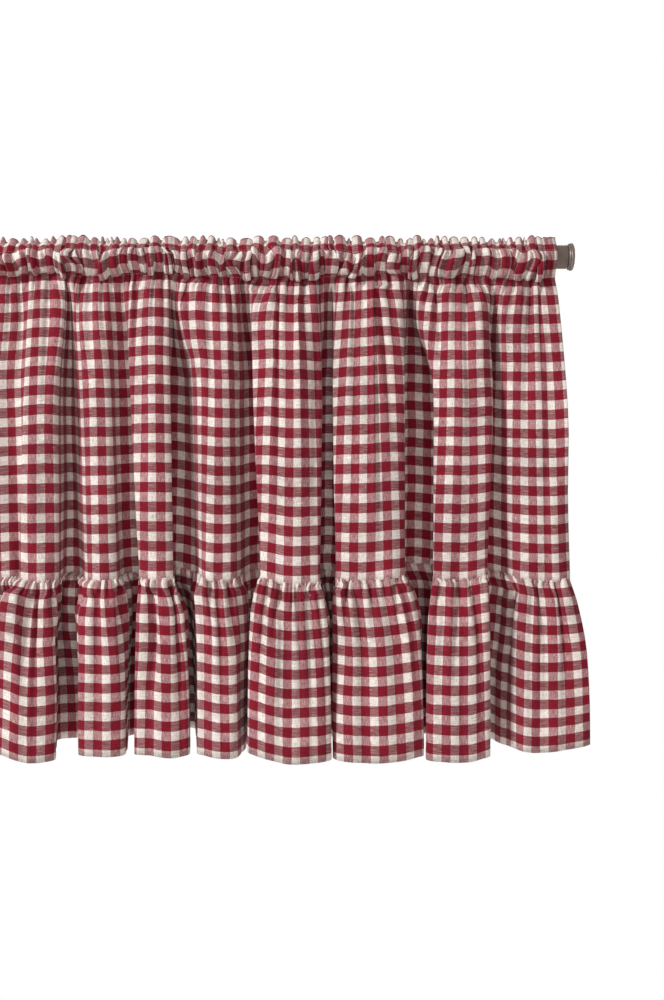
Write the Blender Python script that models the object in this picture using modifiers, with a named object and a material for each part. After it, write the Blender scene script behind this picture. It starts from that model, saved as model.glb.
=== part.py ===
"""A ruffled check valance, gathered on the plain round rod that it hangs from.

Metres, +Z up, the front faces -Y. The origin is on the rod's axis, halfway along it.

The cloth is two cut lengths. The panel is doubled over at its top into a standing header and a
pocket for the rod, and hangs in uneven folds. The ruffle is a longer strip, gathered to the
panel's lower edge. Each is a sheet that keeps its own length: across, a row of it turns through
angles that are added up along the cloth, and down, every thread drops by what is left of its
length once it has swung forward, back or sideways.
"""

import math

import bmesh
import bpy
import numpy as np

MM = 0.001
CHECK = 9.55 * MM  # one stripe of the check: the unit of the tables' "check" columns
GAP = 0.4 * MM  # between pieces that touch
SEAM_GAP = 0.9 * MM  # at the sewn edge, whose height wavers as it is gathered

# Rod and end caps
ROD_RADIUS = 12 * MM
ROD_LENGTH = 808 * MM
ROD_SIDES = 32
CAP_PROFILE = (  # (distance out from the rod's end, radius), millimetres
    (0.0, 12.4), (0.9, 13.3), (1.6, 13.3), (1.9, 12.9), (2.2, 13.8), (4.8, 13.8), (5.7, 13.2), (6.0, 12.3),
)

# Cloth
THICKNESS = 1.5 * MM
LAYER = 1.05 * MM  # from the middle of a doubled header to the middle of either layer
HEADER_TOP = 21.0 * MM  # height of the header's crest above the rod's axis
HEADER_FOOT = 17.0 * MM  # where its two layers part over the rod
POCKET_DROP = 20.5 * MM  # from the rod's axis down to the line of stitching below it
POCKET_TURNS = (-90, -50, -12, 20, 46, 70)  # where its section has points, degrees round the rod
POCKET_DEPTH = 21.0 * MM  # how far the pocket stands out, in front and behind
PANEL_DROP = 304 * MM  # from the stitching to the seam, along the cloth
RUFFLE_DROP = 178 * MM  # from the seam to the hem, along the cloth

# Folds
STRAND = 3.6 * MM  # spacing of the threads that are worked out across the panel
RUFFLE_STRAND = 4.4 * MM
PANEL_TRIANGLES = 3700  # of each sheet, before it gets its thickness
RUFFLE_TRIANGLES = 2400
SEEN_GATHERS = 0.74  # share of the ruffle's gathering that is shaped; the rest is finer than this mesh
ROUNDING = 3.4 * MM  # how softly a fold turns
UNEVENNESS = 0.3  # how much wider or narrower than their average the puckers are
LEVELLING = 16 * MM  # puckers keep level along the rod when averaged over about this much cloth
BLENDING = 30 * MM  # how much cloth it takes for puckers to become stronger or weaker
BULGE = 0.24  # half the angle through which the face of a fold curves, radians
SHARPNESS = 0.35  # makes puckers broad in front and tight behind
TURN_TOP, TURN_MIDDLE = 0.62, 0.9  # share of its full turn that a fold has reached
LEAST_RECESS = 2 * MM
LEAST_FALL = 0.4  # share of its length by which a thread falls, however far it swings
SEED = 7

# The panel's folds. check: place along the flat cloth of the thread named x, counted in stripes.
# left, x, right: the fold's left edge, that thread and the right edge, at the top, in the middle
# and at the seam, in millimetres from the rod's middle. front: how far the face stands back (+)
# or forward (-). turn: how far the cloth turns away at each edge, degrees. puckers: along the rod.
PANEL_COLUMNS = (
    "check", "left_top", "x_top", "right_top", "left_middle", "x_middle", "right_middle",
    "left_low", "x_low", "right_low", "front", "turn_left", "turn_right", "puckers",
)
PANEL_FOLDS = (
    (-50, -392, -376, -364, -400, -385, -372, -404, -388, -372, -6, 40, 84, 4),
    (-41, -352, -340, -326, -354, -342, -322, -360, -342, -320, -14, 95, 95, 5),
    (-30, -304, -286, -266, -306, -286, -264, -310, -286, -262, -10, 62, 97, 5),
    (-18, -244, -226, -206, -248, -226, -208, -250, -226, -208, -14, 96, 70, 6),
    (-6, -186, -170, -147, -188, -177, -146, -192, -176, -152, -4, 60, 78, 5),
    (1, -138, -128, -104, -142, -129, -110, -148, -129, -111, -15, 75, 84, 6),
    (12, -88, -75, -60, -81, -70, -57, -76, -66, -50, -12, 58, 86, 4),
    (24, -38, -12, 0, -36, -10, 3, -27, -9, 6, -13, 98, 98, 6),
    (36, 12, 46, 64, 38, 49, 64, 40, 48, 68, -12, 60, 65, 8),
    (51, 86, 128, 153, 88, 128, 156, 95, 127, 154, -16, 96, 97, 9),
    (66, 170, 202, 238, 168, 202, 239, 171, 201, 240, -14, 97, 97, 9),
    (85, 255, 297, 324, 270, 297, 328, 269, 294, 322, -14, 97, 97, 9),
    (97, 340, 370, 388, 347, 371, 392, 352, 373, 398, -10, 47, 40, 8),
)
PANEL_LEVELS = (0, 22, 122, 304)  # millimetres down: the stitching, top, middle and seam
PANEL_EDGES = (  # the side hems: check, then x at those four levels
    (-53.5, -391, -393, -402, -407),
    (101.1, 392, 394.5, 402, 406),
)

# The ruffle's folds, the same in number and order, with their places at the seam and the hem.
RUFFLE_COLUMNS = (
    "check", "x_seam", "left", "x", "right", "front", "turn_left", "turn_right", "gathers",
)
RUFFLE_FOLDS = (
    (-87, -388, -424, -406, -392, -8, 40, 95, 6),
    (-70, -342, -386, -362, -339, -20, 96, 96, 7),
    (-51, -286, -334, -307, -282, -16, 96, 97, 7),
    (-33, -226, -276, -250, -224, -20, 97, 96, 7),
    (-15, -176, -219, -196, -176, -14, 96, 96, 7),
    (0, -129, -171, -137, -111, -24, 97, 97, 7),
    (19, -66, -88, -63, -41, -18, 96, 96, 7),
    (38, -9, -31, -3, 23, -18, 97, 97, 7),
    (58, 48, 28, 55.5, 78, -16, 97, 97, 7),
    (79, 127, 82.5, 126.5, 165, -26, 97, 97, 9),
    (102, 201, 168.5, 214, 258, -24, 97, 97, 9),
    (126, 294, 261.5, 293, 324, -24, 97, 97, 9),
    (143, 373, 358, 375, 408, -14, 55, 40, 9),
)
RUFFLE_EDGES = (  # the side hems: check, then x at the seam and the hem
    (-92, -408, -427),
    (150.8, 407, 425),
)

# How folds and puckers come and go, as (millimetres down, share): the panel's folds come forward,
# its small puckers die away, and the ruffle's gathers do while it leaves the line of the seam.
FOLD_GROWTH = ((0, 0.0), (120, 1.0), (304, 1.0))
TURN_GROWTH = 0.25  # the power of that share which the turns of the folds follow, so they start soon
PUCKER_FADE = ((0, 1.0), (12, 0.93), (30, 0.7), (60, 0.42), (100, 0.2), (160, 0.07), (304, 0.02))
GATHER_FADE = ((0, 1.0), (14, 0.9), (40, 0.55), (80, 0.26), (130, 0.1), (178, 0.05))
RUFFLE_SPREAD = ((0, 0.0), (133, 0.9), (178, 1.0))
HEADER_SPREAD = 40 * MM  # below the stitching, over which the doubled header's half layer is lost
PANEL_ROWS = (0, 12, 28, 50, 80, 120, 175, 240, 304)  # where the mesh has rows, millimetres down
RUFFLE_ROWS = (0, 14, 34, 62, 98, 138, 178)

# Colour, roughness and metallic value of each finish
FINISHES = {
    "check_cloth": ((0.42, 0.10, 0.13), 0.85, 0.0),
    "pewter": ((0.16, 0.13, 0.11), 0.38, 0.9),
}


def clear_scene():
    for obj in list(bpy.data.objects):
        bpy.data.objects.remove(obj, do_unlink=True)


def finish(name):
    """The named finish as a material, made once."""
    material = bpy.data.materials.get(name)
    if material is None:
        colour, roughness, metallic = FINISHES[name]
        material = bpy.data.materials.new(name)
        material.use_nodes = True
        shader = material.node_tree.nodes["Principled BSDF"]
        shader.inputs["Base Color"].default_value = (*colour, 1)
        shader.inputs["Roughness"].default_value = roughness
        shader.inputs["Metallic"].default_value = metallic
    return material


def add_object(name, mesh, finish_name, collection):
    obj = bpy.data.objects.new(name, mesh)
    mesh.materials.append(finish(finish_name))
    collection.objects.link(obj)
    return obj


def add_rod(collection):
    """A plain round rod along X."""
    shape = bmesh.new()
    bmesh.ops.create_cone(
        shape, cap_ends=True, segments=ROD_SIDES, radius1=ROD_RADIUS, radius2=ROD_RADIUS, depth=ROD_LENGTH
    )
    mesh = bpy.data.meshes.new("rod")
    shape.to_mesh(mesh)
    shape.free()
    mesh.shade_smooth()
    mesh.set_sharp_from_angle(angle=math.radians(40))
    rod = add_object("rod", mesh, "pewter", collection)
    rod.rotation_euler = (0, math.pi / 2, 0)


def add_cap(name, side, collection):
    """A turned end cap: its profile spun round the rod's axis, on the side that +1 or -1 names."""
    outline = [(0.0, 0.0)] + [(out * MM, radius * MM) for out, radius in CAP_PROFILE]
    outline.append((outline[-1][0], 0.0))
    mesh = bpy.data.meshes.new(name)
    points = [(radius, 0, -out) for out, radius in outline]
    mesh.from_pydata(points, [(i, i + 1) for i in range(len(points) - 1)], [])
    cap = add_object(name, mesh, "pewter", collection)
    turn = cap.modifiers.new("turn", "SCREW")
    turn.steps = turn.render_steps = ROD_SIDES
    turn.use_merge_vertices = True
    turn.merge_threshold = 0.00001
    turn.use_smooth_shade = True
    cap.location = (side * (ROD_LENGTH / 2 + GAP), 0, 0)
    cap.rotation_euler = (0, -side * math.pi / 2, 0)


def column(table, names, name, unit=1.0):
    """One named column of a table, as an array in metres or in its own unit."""
    return np.array([row[names.index(name)] for row in table], float) * unit


def down(levels, values):
    """A function of the drop that passes smoothly through values (their last axis) at levels, in mm."""
    levels, values = np.asarray(levels, float) * MM, np.asarray(values, float)

    def at(drop):
        place = np.clip(np.searchsorted(levels, drop, side="right") - 1, 0, len(levels) - 2)
        share = np.clip((drop - levels[place]) / (levels[place + 1] - levels[place]), 0, 1)
        share = share * share * (3 - 2 * share)
        return values[..., place] * (1 - share) + values[..., place + 1] * share

    return at


def share_down(table):
    """The same for a table of (millimetres down, share)."""
    return down(*zip(*table))


def pucker_wave(turns):
    """The angle of a pucker, -1 to 1, over its turns: broad at whole turns, tight at halves."""
    phase = 2 * np.pi * turns
    return np.sin(phase - SHARPNESS * np.sin(phase))


def pucker_reach(strength):
    """The share of its length that puckered cloth covers, for a strength in radians."""
    turns = np.linspace(0, 1, 400, endpoint=False)
    return np.cos(np.multiply.outer(strength, pucker_wave(turns))).mean(axis=-1)


def pucker_strength(reach):
    """The strength of puckers that draws cloth up to the given share of its length."""
    strengths = np.linspace(0, 2.2, 221)
    return np.interp(-np.asarray(reach), -pucker_reach(strengths), strengths)


def uneven_turns(flat, troughs, counts, seed):
    """How many puckers lie before each place on the flat cloth, uneven but whole between troughs."""
    chance = np.random.default_rng(seed)
    places, turns = [troughs[0]], [0.5]
    for start, end, count in zip(troughs[:-1], troughs[1:], counts):
        widths = chance.uniform(1 - UNEVENNESS, 1 + UNEVENNESS, int(count))
        places += list(start + (end - start) * np.cumsum(widths) / widths.sum())
        turns += [turns[-1] + 1 + i for i in range(int(count))]
    return np.interp(flat, places, turns)


def fold_angles(flat, marks, left, thread, right, front, turn_left, turn_right, reach):
    """The direction of the cloth at each flat place, for one level, before it is puckered.

    Between the named threads of two folds the cloth runs along the first face, turns back, crosses
    the recess, comes forward and runs along the next face. The lengths of the two walls are what
    the face widths, the opening and the difference between the two faces leave of the cloth.
    """
    places, angles = [flat[0], marks[0]], [-BULGE, 0.0]
    arc = BULGE / math.sin(BULGE)
    for i in range(len(marks) - 1):
        budget = reach[i] * (marks[i + 1] - marks[i])
        near, far = arc * (right[i] - thread[i]), arc * (thread[i + 1] - left[i + 1])
        opening = left[i + 1] - right[i]
        back, forth = turn_right[i], turn_left[i + 1]
        spare = max(budget - near - far - opening, 0.0)
        step = front[i + 1] - front[i]
        walls = np.linalg.solve(
            [[1 - math.cos(back), 1 - math.cos(forth)], [math.sin(back), -math.sin(forth)]], [spare, step]
        )
        walls = np.clip(walls, 0.0, None)
        recess = max(opening - walls[0] * math.cos(back) - walls[1] * math.cos(forth), LEAST_RECESS)
        lengths = np.array([near, walls[0], recess, walls[1], far])
        ends = marks[i] + np.cumsum(lengths) * (marks[i + 1] - marks[i]) / lengths.sum()
        places += [ends[0], ends[0], ends[1], ends[1], ends[2], ends[2], ends[3], ends[3], ends[4]]
        angles += [BULGE, back, back, BULGE, -BULGE, -forth, -forth, -BULGE, 0.0]
    places.append(flat[-1])
    angles.append(BULGE)
    order = np.array(places) + 1e-7 * np.arange(len(places))
    return softened(np.interp(flat, order, angles), ROUNDING / (flat[1] - flat[0]))


def softened(values, width):
    """Values averaged along their length with a bell of the given width in samples."""
    reach = int(3 * width) + 1
    bell = np.exp(-0.5 * (np.arange(-reach, reach + 1) / width) ** 2)
    padded = np.pad(values, reach, mode="edge")
    return np.convolve(padded, bell / bell.sum(), mode="valid")


def laid_row(flat, angles, pins, pin_x, pin_y, taken=1.0):
    """(x, y) along one level: the angles added up, then eased so that each pin is in its place.

    taken is the share of the cloth's length that is left once gathers too fine to shape are drawn up.
    """
    step = (flat[1] - flat[0]) * np.broadcast_to(taken, len(flat))[1:]
    between = (angles[1:] + angles[:-1]) / 2
    x = np.concatenate([[0], np.cumsum(np.cos(between) * step)])
    y = np.concatenate([[0], np.cumsum(np.sin(between) * step)])
    x += np.interp(flat, pins, pin_x - np.interp(pins, flat, x))
    y += np.interp(flat, pins, pin_y - np.interp(pins, flat, y))
    return x, y


def hung(x, y, top, drops):
    """Heights of every thread below the given top: each keeps its length as it swings about."""
    swing = np.diff(x, axis=0) ** 2 + np.diff(y, axis=0) ** 2
    lengths = np.diff(drops)[:, None]
    fall = np.sqrt(np.clip(lengths**2 - swing, (LEAST_FALL * lengths) ** 2, None))
    return np.vstack([top, top - np.cumsum(fall, axis=0)])


def across(marks, edges, strand):
    """(flat places, pins): threads spaced evenly from hem to hem, and the ones held in their place."""
    pins = np.concatenate([[edges[0]], marks, [edges[1]]])
    return np.linspace(edges[0], edges[1], int((edges[1] - edges[0]) / strand) + 1), pins


def puckers(flat, pins, reach, counts, seed):
    """(strength, wave) of the puckers along the cloth, where reach is given between the pins."""
    middles = (pins[1:] + pins[:-1]) / 2
    strength = np.interp(flat, middles, pucker_strength(reach))
    troughs = np.concatenate([pins[:1], middles[1:-1], pins[-1:]])
    wave = pucker_wave(uneven_turns(flat, troughs, counts, seed))
    return softened(strength, BLENDING / (flat[1] - flat[0])), wave


def panel_rows(strand, rows):
    """(flat places, x, y, z) of the panel below the stitching, one row for each drop in rows."""
    marks = column(PANEL_FOLDS, PANEL_COLUMNS, "check", CHECK)
    flat, pins = across(marks, np.array([row[0] for row in PANEL_EDGES]) * CHECK, strand)

    def over(name):
        three = [column(PANEL_FOLDS, PANEL_COLUMNS, f"{name}_{at}", MM) for at in ("top", "middle", "low")]
        return down(PANEL_LEVELS, np.stack([three[0], *three], axis=-1))

    left, thread, right = over("left"), over("x"), over("right")
    edge_x = down(PANEL_LEVELS, np.array([row[1:] for row in PANEL_EDGES]) * MM)
    front = column(PANEL_FOLDS, PANEL_COLUMNS, "front", MM)
    turn_left = column(PANEL_FOLDS, PANEL_COLUMNS, "turn_left", math.pi / 180)
    turn_right = column(PANEL_FOLDS, PANEL_COLUMNS, "turn_right", math.pi / 180)
    turned = down(PANEL_LEVELS, [TURN_TOP, TURN_TOP, TURN_MIDDLE, 1.0])
    forward, fade = share_down(FOLD_GROWTH), share_down(PUCKER_FADE)

    rod_x = np.concatenate([[edge_x(0)[0]], thread(0), [edge_x(0)[1]]])
    reach = np.diff(rod_x) / np.diff(pins)
    counts = column(PANEL_FOLDS, PANEL_COLUMNS, "puckers")
    strength, wave = puckers(flat, pins, reach, counts, SEED)

    xs, ys = [], []
    for drop in rows:
        angles = fold_angles(
            flat, marks, left(drop), thread(drop), right(drop), front,
            turn_left * turned(drop), turn_right * turned(drop),
            pucker_reach(pucker_strength(reach[1:-1]) * fade(drop)),
        )
        angles = angles * forward(drop) ** TURN_GROWTH + strength * fade(drop) * wave
        pin_x = np.concatenate([[edge_x(drop)[0]], thread(drop), [edge_x(drop)[1]]])
        pin_y = np.concatenate([[front[0]], front, [front[-1]]]) * forward(drop)
        x, y = laid_row(flat, angles, pins, pin_x, pin_y)
        xs.append(x)
        ys.append(y)
    x, y = np.array(xs), np.array(ys)
    y -= np.multiply.outer(1 - forward(rows), softened(y[0], LEVELLING / strand))
    return flat, x, y, hung(x, y, np.full(len(flat), -POCKET_DROP), rows)


def ruffle_rows(strand, rows, seam):
    """(flat places, x, y, z) of the ruffle below the seam, whose line the panel's last row gives."""
    marks = column(RUFFLE_FOLDS, RUFFLE_COLUMNS, "check", CHECK)
    flat, pins = across(marks, np.array([row[0] for row in RUFFLE_EDGES]) * CHECK, strand)
    sewn_marks = column(PANEL_FOLDS, PANEL_COLUMNS, "check", CHECK)
    sewn = across(sewn_marks, np.array([row[0] for row in PANEL_EDGES]) * CHECK, strand)[1]
    beside = np.interp(flat, pins, sewn)  # the thread of the panel to which each thread is sewn
    seam_x, seam_y, seam_z = (np.interp(beside, seam[0], values) for values in seam[1:])

    def over(top, low):
        return down((0, RUFFLE_DROP / MM), np.stack([top, low], axis=-1))

    def panel(name):
        return column(PANEL_FOLDS, PANEL_COLUMNS, name, MM)

    def ruffle(name):
        return column(RUFFLE_FOLDS, RUFFLE_COLUMNS, name, MM)

    left, right = over(panel("left_low"), ruffle("left")), over(panel("right_low"), ruffle("right"))
    thread, front = over(ruffle("x_seam"), ruffle("x")), over(panel("front"), ruffle("front"))
    edge_x = down((0, RUFFLE_DROP / MM), np.array([row[1:] for row in RUFFLE_EDGES]) * MM)
    turn_left = column(RUFFLE_FOLDS, RUFFLE_COLUMNS, "turn_left", math.pi / 180)
    turn_right = column(RUFFLE_FOLDS, RUFFLE_COLUMNS, "turn_right", math.pi / 180)
    fade, spread = share_down(GATHER_FADE), share_down(RUFFLE_SPREAD)

    reach = np.diff(sewn) / np.diff(pins)
    counts = column(RUFFLE_FOLDS, RUFFLE_COLUMNS, "gathers")
    strength, wave = puckers(flat, pins, reach, counts, SEED + 1)

    xs, ys = [], []
    for drop in rows:
        drawn = strength * fade(drop)
        angles = fold_angles(
            flat, marks, left(drop), thread(drop), right(drop), front(drop), turn_left, turn_right,
            pucker_reach(pucker_strength(reach[1:-1]) * fade(drop)),
        )
        angles = angles + SEEN_GATHERS * drawn * wave
        taken = pucker_reach(drawn) / pucker_reach(SEEN_GATHERS * drawn)
        pin_x = np.concatenate([[edge_x(drop)[0]], thread(drop), [edge_x(drop)[1]]])
        pin_y = np.concatenate([front(drop)[:1], front(drop), front(drop)[-1:]])
        x, y = laid_row(flat, angles, pins, pin_x, pin_y, taken)
        xs.append(x)
        ys.append(y)
    x, y = np.array(xs), np.array(ys)
    follow = (1 - spread(rows))[:, None]
    x += follow * (seam_x - softened(x[0], LEVELLING / strand))
    y += follow * (seam_y - softened(y[0], LEVELLING / strand))
    return flat, x, y, hung(x, y, seam_z - SEAM_GAP, rows)


def pocket_profile():
    """(y, z) up the back of the pocket, over the header's crest and down the front, in that order."""
    steps = np.radians(POCKET_TURNS)
    depth = POCKET_DEPTH - LAYER
    back_y = LAYER + depth * np.cos(steps)
    back_z = np.where(steps < 0, POCKET_DROP, HEADER_FOOT) * np.sin(steps)
    back = list(zip(back_y, back_z)) + [(LAYER, HEADER_FOOT), (LAYER, HEADER_TOP - LAYER)]
    front = [(-y, z) for y, z in reversed(back[1:])]
    return np.array(back + [(0.0, HEADER_TOP)] + front)


def add_sheet(name, points, triangles, collection):
    """A grid of points (rows, threads, 3) as one sheet: thinned where it is plain, then thickened."""
    rows, threads = points.shape[:2]
    shape = bmesh.new()
    bmesh.ops.create_grid(shape, x_segments=threads - 1, y_segments=rows - 1, size=1)
    mesh = bpy.data.meshes.new(name)
    shape.to_mesh(mesh)
    shape.free()
    grid = np.empty(rows * threads * 3)
    mesh.vertices.foreach_get("co", grid)
    grid = grid.reshape(-1, 3)
    across = np.rint((grid[:, 0] + 1) / 2 * (threads - 1)).astype(int)
    up = np.rint((grid[:, 1] + 1) / 2 * (rows - 1)).astype(int)
    mesh.vertices.foreach_set("co", points[rows - 1 - up, across].ravel())
    mesh.shade_smooth()
    sheet = add_object(name, mesh, "check_cloth", collection)
    thin = sheet.modifiers.new("thin_out", "DECIMATE")
    thin.ratio = triangles / (2 * (rows - 1) * (threads - 1))
    thick = sheet.modifiers.new("thickness", "SOLIDIFY")
    thick.thickness = THICKNESS
    thick.offset = 0
    return sheet


def add_panel(collection):
    """The panel: its pocket is the top row carried along the pocket's section. Returns its last row."""
    rows = np.array(PANEL_ROWS) * MM
    flat, x, y, z = panel_rows(STRAND, rows)
    profile = pocket_profile()
    pocket_x = np.repeat(x[:1], len(profile), axis=0)
    pocket_y = y[0] + profile[:, :1]
    pocket_z = np.repeat(profile[:, 1:], len(flat), axis=1)
    shift = np.interp(rows, [0, HEADER_SPREAD], [-LAYER, 0])[:, None]
    points = np.stack(
        [np.vstack([pocket_x, x]), np.vstack([pocket_y, y + shift]), np.vstack([pocket_z, z])], axis=-1
    )
    add_sheet("panel", points, PANEL_TRIANGLES, collection)
    return flat, x[-1], y[-1], z[-1]


def add_ruffle(seam, collection):
    flat, x, y, z = ruffle_rows(RUFFLE_STRAND, np.array(RUFFLE_ROWS) * MM, seam)
    add_sheet("ruffle", np.stack([x, y, z], axis=-1), RUFFLE_TRIANGLES, collection)


def main():
    clear_scene()
    collection = bpy.data.collections.new("valance")
    bpy.context.scene.collection.children.link(collection)
    add_rod(collection)
    add_cap("cap_left", -1, collection)
    add_cap("cap_right", 1, collection)
    seam = add_panel(collection)
    add_ruffle(seam, collection)


main()
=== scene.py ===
"""A ruffled check valance gathered on its rod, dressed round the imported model.

Metres, +Z up, the front faces -Y, and the origin is on the rod's axis, halfway along it.
"""
import math

import bpy
import numpy as np
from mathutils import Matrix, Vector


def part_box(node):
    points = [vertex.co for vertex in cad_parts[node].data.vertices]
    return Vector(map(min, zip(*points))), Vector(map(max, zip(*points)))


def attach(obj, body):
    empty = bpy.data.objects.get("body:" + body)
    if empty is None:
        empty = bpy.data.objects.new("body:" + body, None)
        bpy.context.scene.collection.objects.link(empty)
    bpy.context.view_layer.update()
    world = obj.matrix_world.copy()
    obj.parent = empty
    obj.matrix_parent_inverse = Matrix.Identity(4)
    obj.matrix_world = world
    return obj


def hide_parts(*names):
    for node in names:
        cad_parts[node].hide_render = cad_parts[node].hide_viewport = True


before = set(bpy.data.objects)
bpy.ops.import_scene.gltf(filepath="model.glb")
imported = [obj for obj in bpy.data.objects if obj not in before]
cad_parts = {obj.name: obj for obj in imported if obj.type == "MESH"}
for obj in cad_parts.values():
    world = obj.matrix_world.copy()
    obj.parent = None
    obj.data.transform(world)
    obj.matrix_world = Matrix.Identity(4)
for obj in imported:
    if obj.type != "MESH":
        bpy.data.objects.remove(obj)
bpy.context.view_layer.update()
MM = 0.001


# ---------------------------------------------------------------------------------------------
# The rod. A plain round steel tube, turned and brushed, then lacquered in a warm pewter grey.
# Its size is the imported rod's, and the cloth hides all of it but a short length at each end.

ROD_SHADES = ((0.155, 0.132, 0.112), (0.345, 0.300, 0.262))
ROD_EDGE = 0.5 * MM  # the chamfer at the tube's ends
rod_low, rod_high = (np.array(corner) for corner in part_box("rod"))
ROD_RADIUS = (rod_high[2] - rod_low[2]) / 2
ROD_END = rod_high[0]


def mesh_piece(name, points, faces, material, uv=None, smooth=True):
    """An object at the origin from an (n, 3) array of points and an (m, 4) array of quads.

    A corner that is named twice in a row makes that quad a triangle. uv has a row for each point.
    """
    mesh = bpy.data.meshes.new(name)
    mesh.from_pydata(points.tolist(), [], [list(dict.fromkeys(face)) for face in faces.tolist()])
    if uv is not None:
        corners = np.empty(len(mesh.loops), np.int32)
        mesh.loops.foreach_get("vertex_index", corners)
        mesh.uv_layers.new(name="cloth").uv.foreach_set("vector", uv[corners].ravel())
    if smooth:
        mesh.shade_smooth()
    mesh.materials.append(material)
    piece = bpy.data.objects.new(name, mesh)
    bpy.context.scene.collection.objects.link(piece)
    return piece


def turned(name, outline, side, sides, material):
    """A piece turned round the X axis from rows of (distance along X, radius).

    Point (i, j) is (side * x_i, r_i sin a_j, r_i cos a_j), with a_j going once round the circle.
    The first and last radius are 0, so that both ends close.
    """
    along, radius = np.array(outline).T
    angle = np.linspace(0, 2 * np.pi, sides, endpoint=False)
    x = np.repeat(side * along[:, None], sides, axis=1)
    points = np.stack([x, np.outer(radius, np.sin(angle)), np.outer(radius, np.cos(angle))], axis=-1)
    ring = np.arange(sides)
    after = (ring + 1) % sides
    faces = []
    for i in range(len(outline) - 1):
        a, b = i * sides + ring, i * sides + after
        c, d = b + sides, a + sides
        if i == 0:
            a = b = np.zeros(sides, int)
        if i == len(outline) - 2:
            c = d = np.full(sides, (len(outline) - 1) * sides)
        faces.append(np.stack([a, b, c, d][:: -int(side)], axis=-1))
    faces = np.concatenate(faces)
    used, index = np.unique(faces, return_inverse=True)
    return mesh_piece(name, points.reshape(-1, 3)[used], index.reshape(faces.shape), material)


def node_group(name, inputs, outputs):
    """A shader node group with named sockets, and its own input and output nodes."""
    group = bpy.data.node_groups.new(name, "ShaderNodeTree")
    for socket, kind, default in inputs:
        made = group.interface.new_socket(name=socket, in_out="INPUT", socket_type=kind)
        made.default_value = default
    for socket, kind in outputs:
        group.interface.new_socket(name=socket, in_out="OUTPUT", socket_type=kind)
    return group, group.nodes.new("NodeGroupInput"), group.nodes.new("NodeGroupOutput")


def joined(tree, node_type, values=(), links=(), **settings):
    """A new node with its settings, its plain input values and the sockets that feed it."""
    node = tree.nodes.new(node_type)
    for setting, value in settings.items():
        setattr(node, setting, value)
    for key, value in values:
        node.inputs[key].default_value = value
    for key, source in links:
        tree.links.new(source, node.inputs[key])
    return node


def math_node(tree, operation, *terms):
    """The output of a Math node whose terms are numbers or sockets."""
    node = tree.nodes.new("ShaderNodeMath")
    node.operation = operation
    for place, term in enumerate(terms):
        if isinstance(term, (int, float)):
            node.inputs[place].default_value = term
        else:
            tree.links.new(term, node.inputs[place])
    return node.outputs[0]


def colour_mix(tree, factor, first, second):
    """The output of a Mix node between two colours, each of them plain or a socket."""
    node = joined(tree, "ShaderNodeMix", links=[(0, factor)], data_type="RGBA")
    for place, colour in ((6, first), (7, second)):
        if isinstance(colour, tuple):
            node.inputs[place].default_value = (*colour, 1)
        else:
            tree.links.new(colour, node.inputs[place])
    return node.outputs[2]


def bumped(tree, shader, height, strength, distance):
    """Put a Bump node with the given height on a shader's normal."""
    bump = joined(
        tree, "ShaderNodeBump", [("Strength", strength), ("Distance", distance)], [("Height", height)]
    )
    tree.links.new(bump.outputs[0], shader.inputs["Normal"])


def brushed_group():
    """Fine turning marks round the X axis and larger clouds of tone, as a mask and a height."""
    group, given, result = node_group(
        "turning_marks", [("Scale", "NodeSocketFloat", 1.0)],
        [("Tone", "NodeSocketFloat"), ("Height", "NodeSocketFloat")],
    )
    place = joined(group, "ShaderNodeTexCoord").outputs["Object"]
    rings = joined(group, "ShaderNodeMapping", [("Scale", (4200, 60, 60))], [("Vector", place)])
    marks = joined(
        group, "ShaderNodeTexNoise", [("Detail", 2.0)],
        [("Vector", rings.outputs[0]), ("Scale", given.outputs["Scale"])],
    )
    clouds = joined(group, "ShaderNodeTexNoise", [("Scale", 90.0), ("Detail", 3.0)], [("Vector", place)])
    tone = math_node(group, "ADD", math_node(group, "MULTIPLY", marks.outputs["Fac"], 0.55),
                     math_node(group, "MULTIPLY", clouds.outputs["Fac"], 0.45))
    group.links.new(tone, result.inputs["Tone"])
    group.links.new(marks.outputs["Fac"], result.inputs["Height"])
    return group


TURNING_MARKS = brushed_group()


def pewter(name, shades, roughness):
    """Lacquered pewter-grey metal between two shades."""
    material = bpy.data.materials.new(name)
    material.use_nodes = True
    tree = material.node_tree
    shader = tree.nodes["Principled BSDF"]
    marks = joined(tree, "ShaderNodeGroup", node_tree=TURNING_MARKS)
    tint = colour_mix(tree, marks.outputs["Tone"], *shades)
    rough = joined(
        tree, "ShaderNodeMapRange", [("To Min", roughness - 0.06), ("To Max", roughness + 0.1)],
        [("Value", marks.outputs["Tone"])],
    )
    bumped(tree, shader, marks.outputs["Height"], 0.12, 0.1 * MM)
    tree.links.new(tint, shader.inputs["Base Color"])
    tree.links.new(rough.outputs[0], shader.inputs["Roughness"])
    shader.inputs["Metallic"].default_value = 0.55
    shader.inputs["Coat Weight"].default_value = 0.2
    shader.inputs["Coat Roughness"].default_value = 0.3
    return material


rod_outline = [
    (-ROD_END, 0.0), (-ROD_END, ROD_RADIUS - ROD_EDGE), (ROD_EDGE - ROD_END, ROD_RADIUS),
    (ROD_END - ROD_EDGE, ROD_RADIUS), (ROD_END, ROD_RADIUS - ROD_EDGE), (ROD_END, 0.0),
]
rod_metal = pewter("pewter_tube", ROD_SHADES, 0.40)
rod = turned("rod_tube", rod_outline, 1, 96, rod_metal)
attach(rod, "root")
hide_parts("rod")


# ---------------------------------------------------------------------------------------------
# The end caps. Each is a die-cast cup pushed over the tube: a flared neck, a thin groove and a
# thicker round-edged flange, finished as the rod is and a little brighter all over: painted highlight.

# the rod's two shades made a little brighter throughout, as painted highlight on the caps
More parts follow.
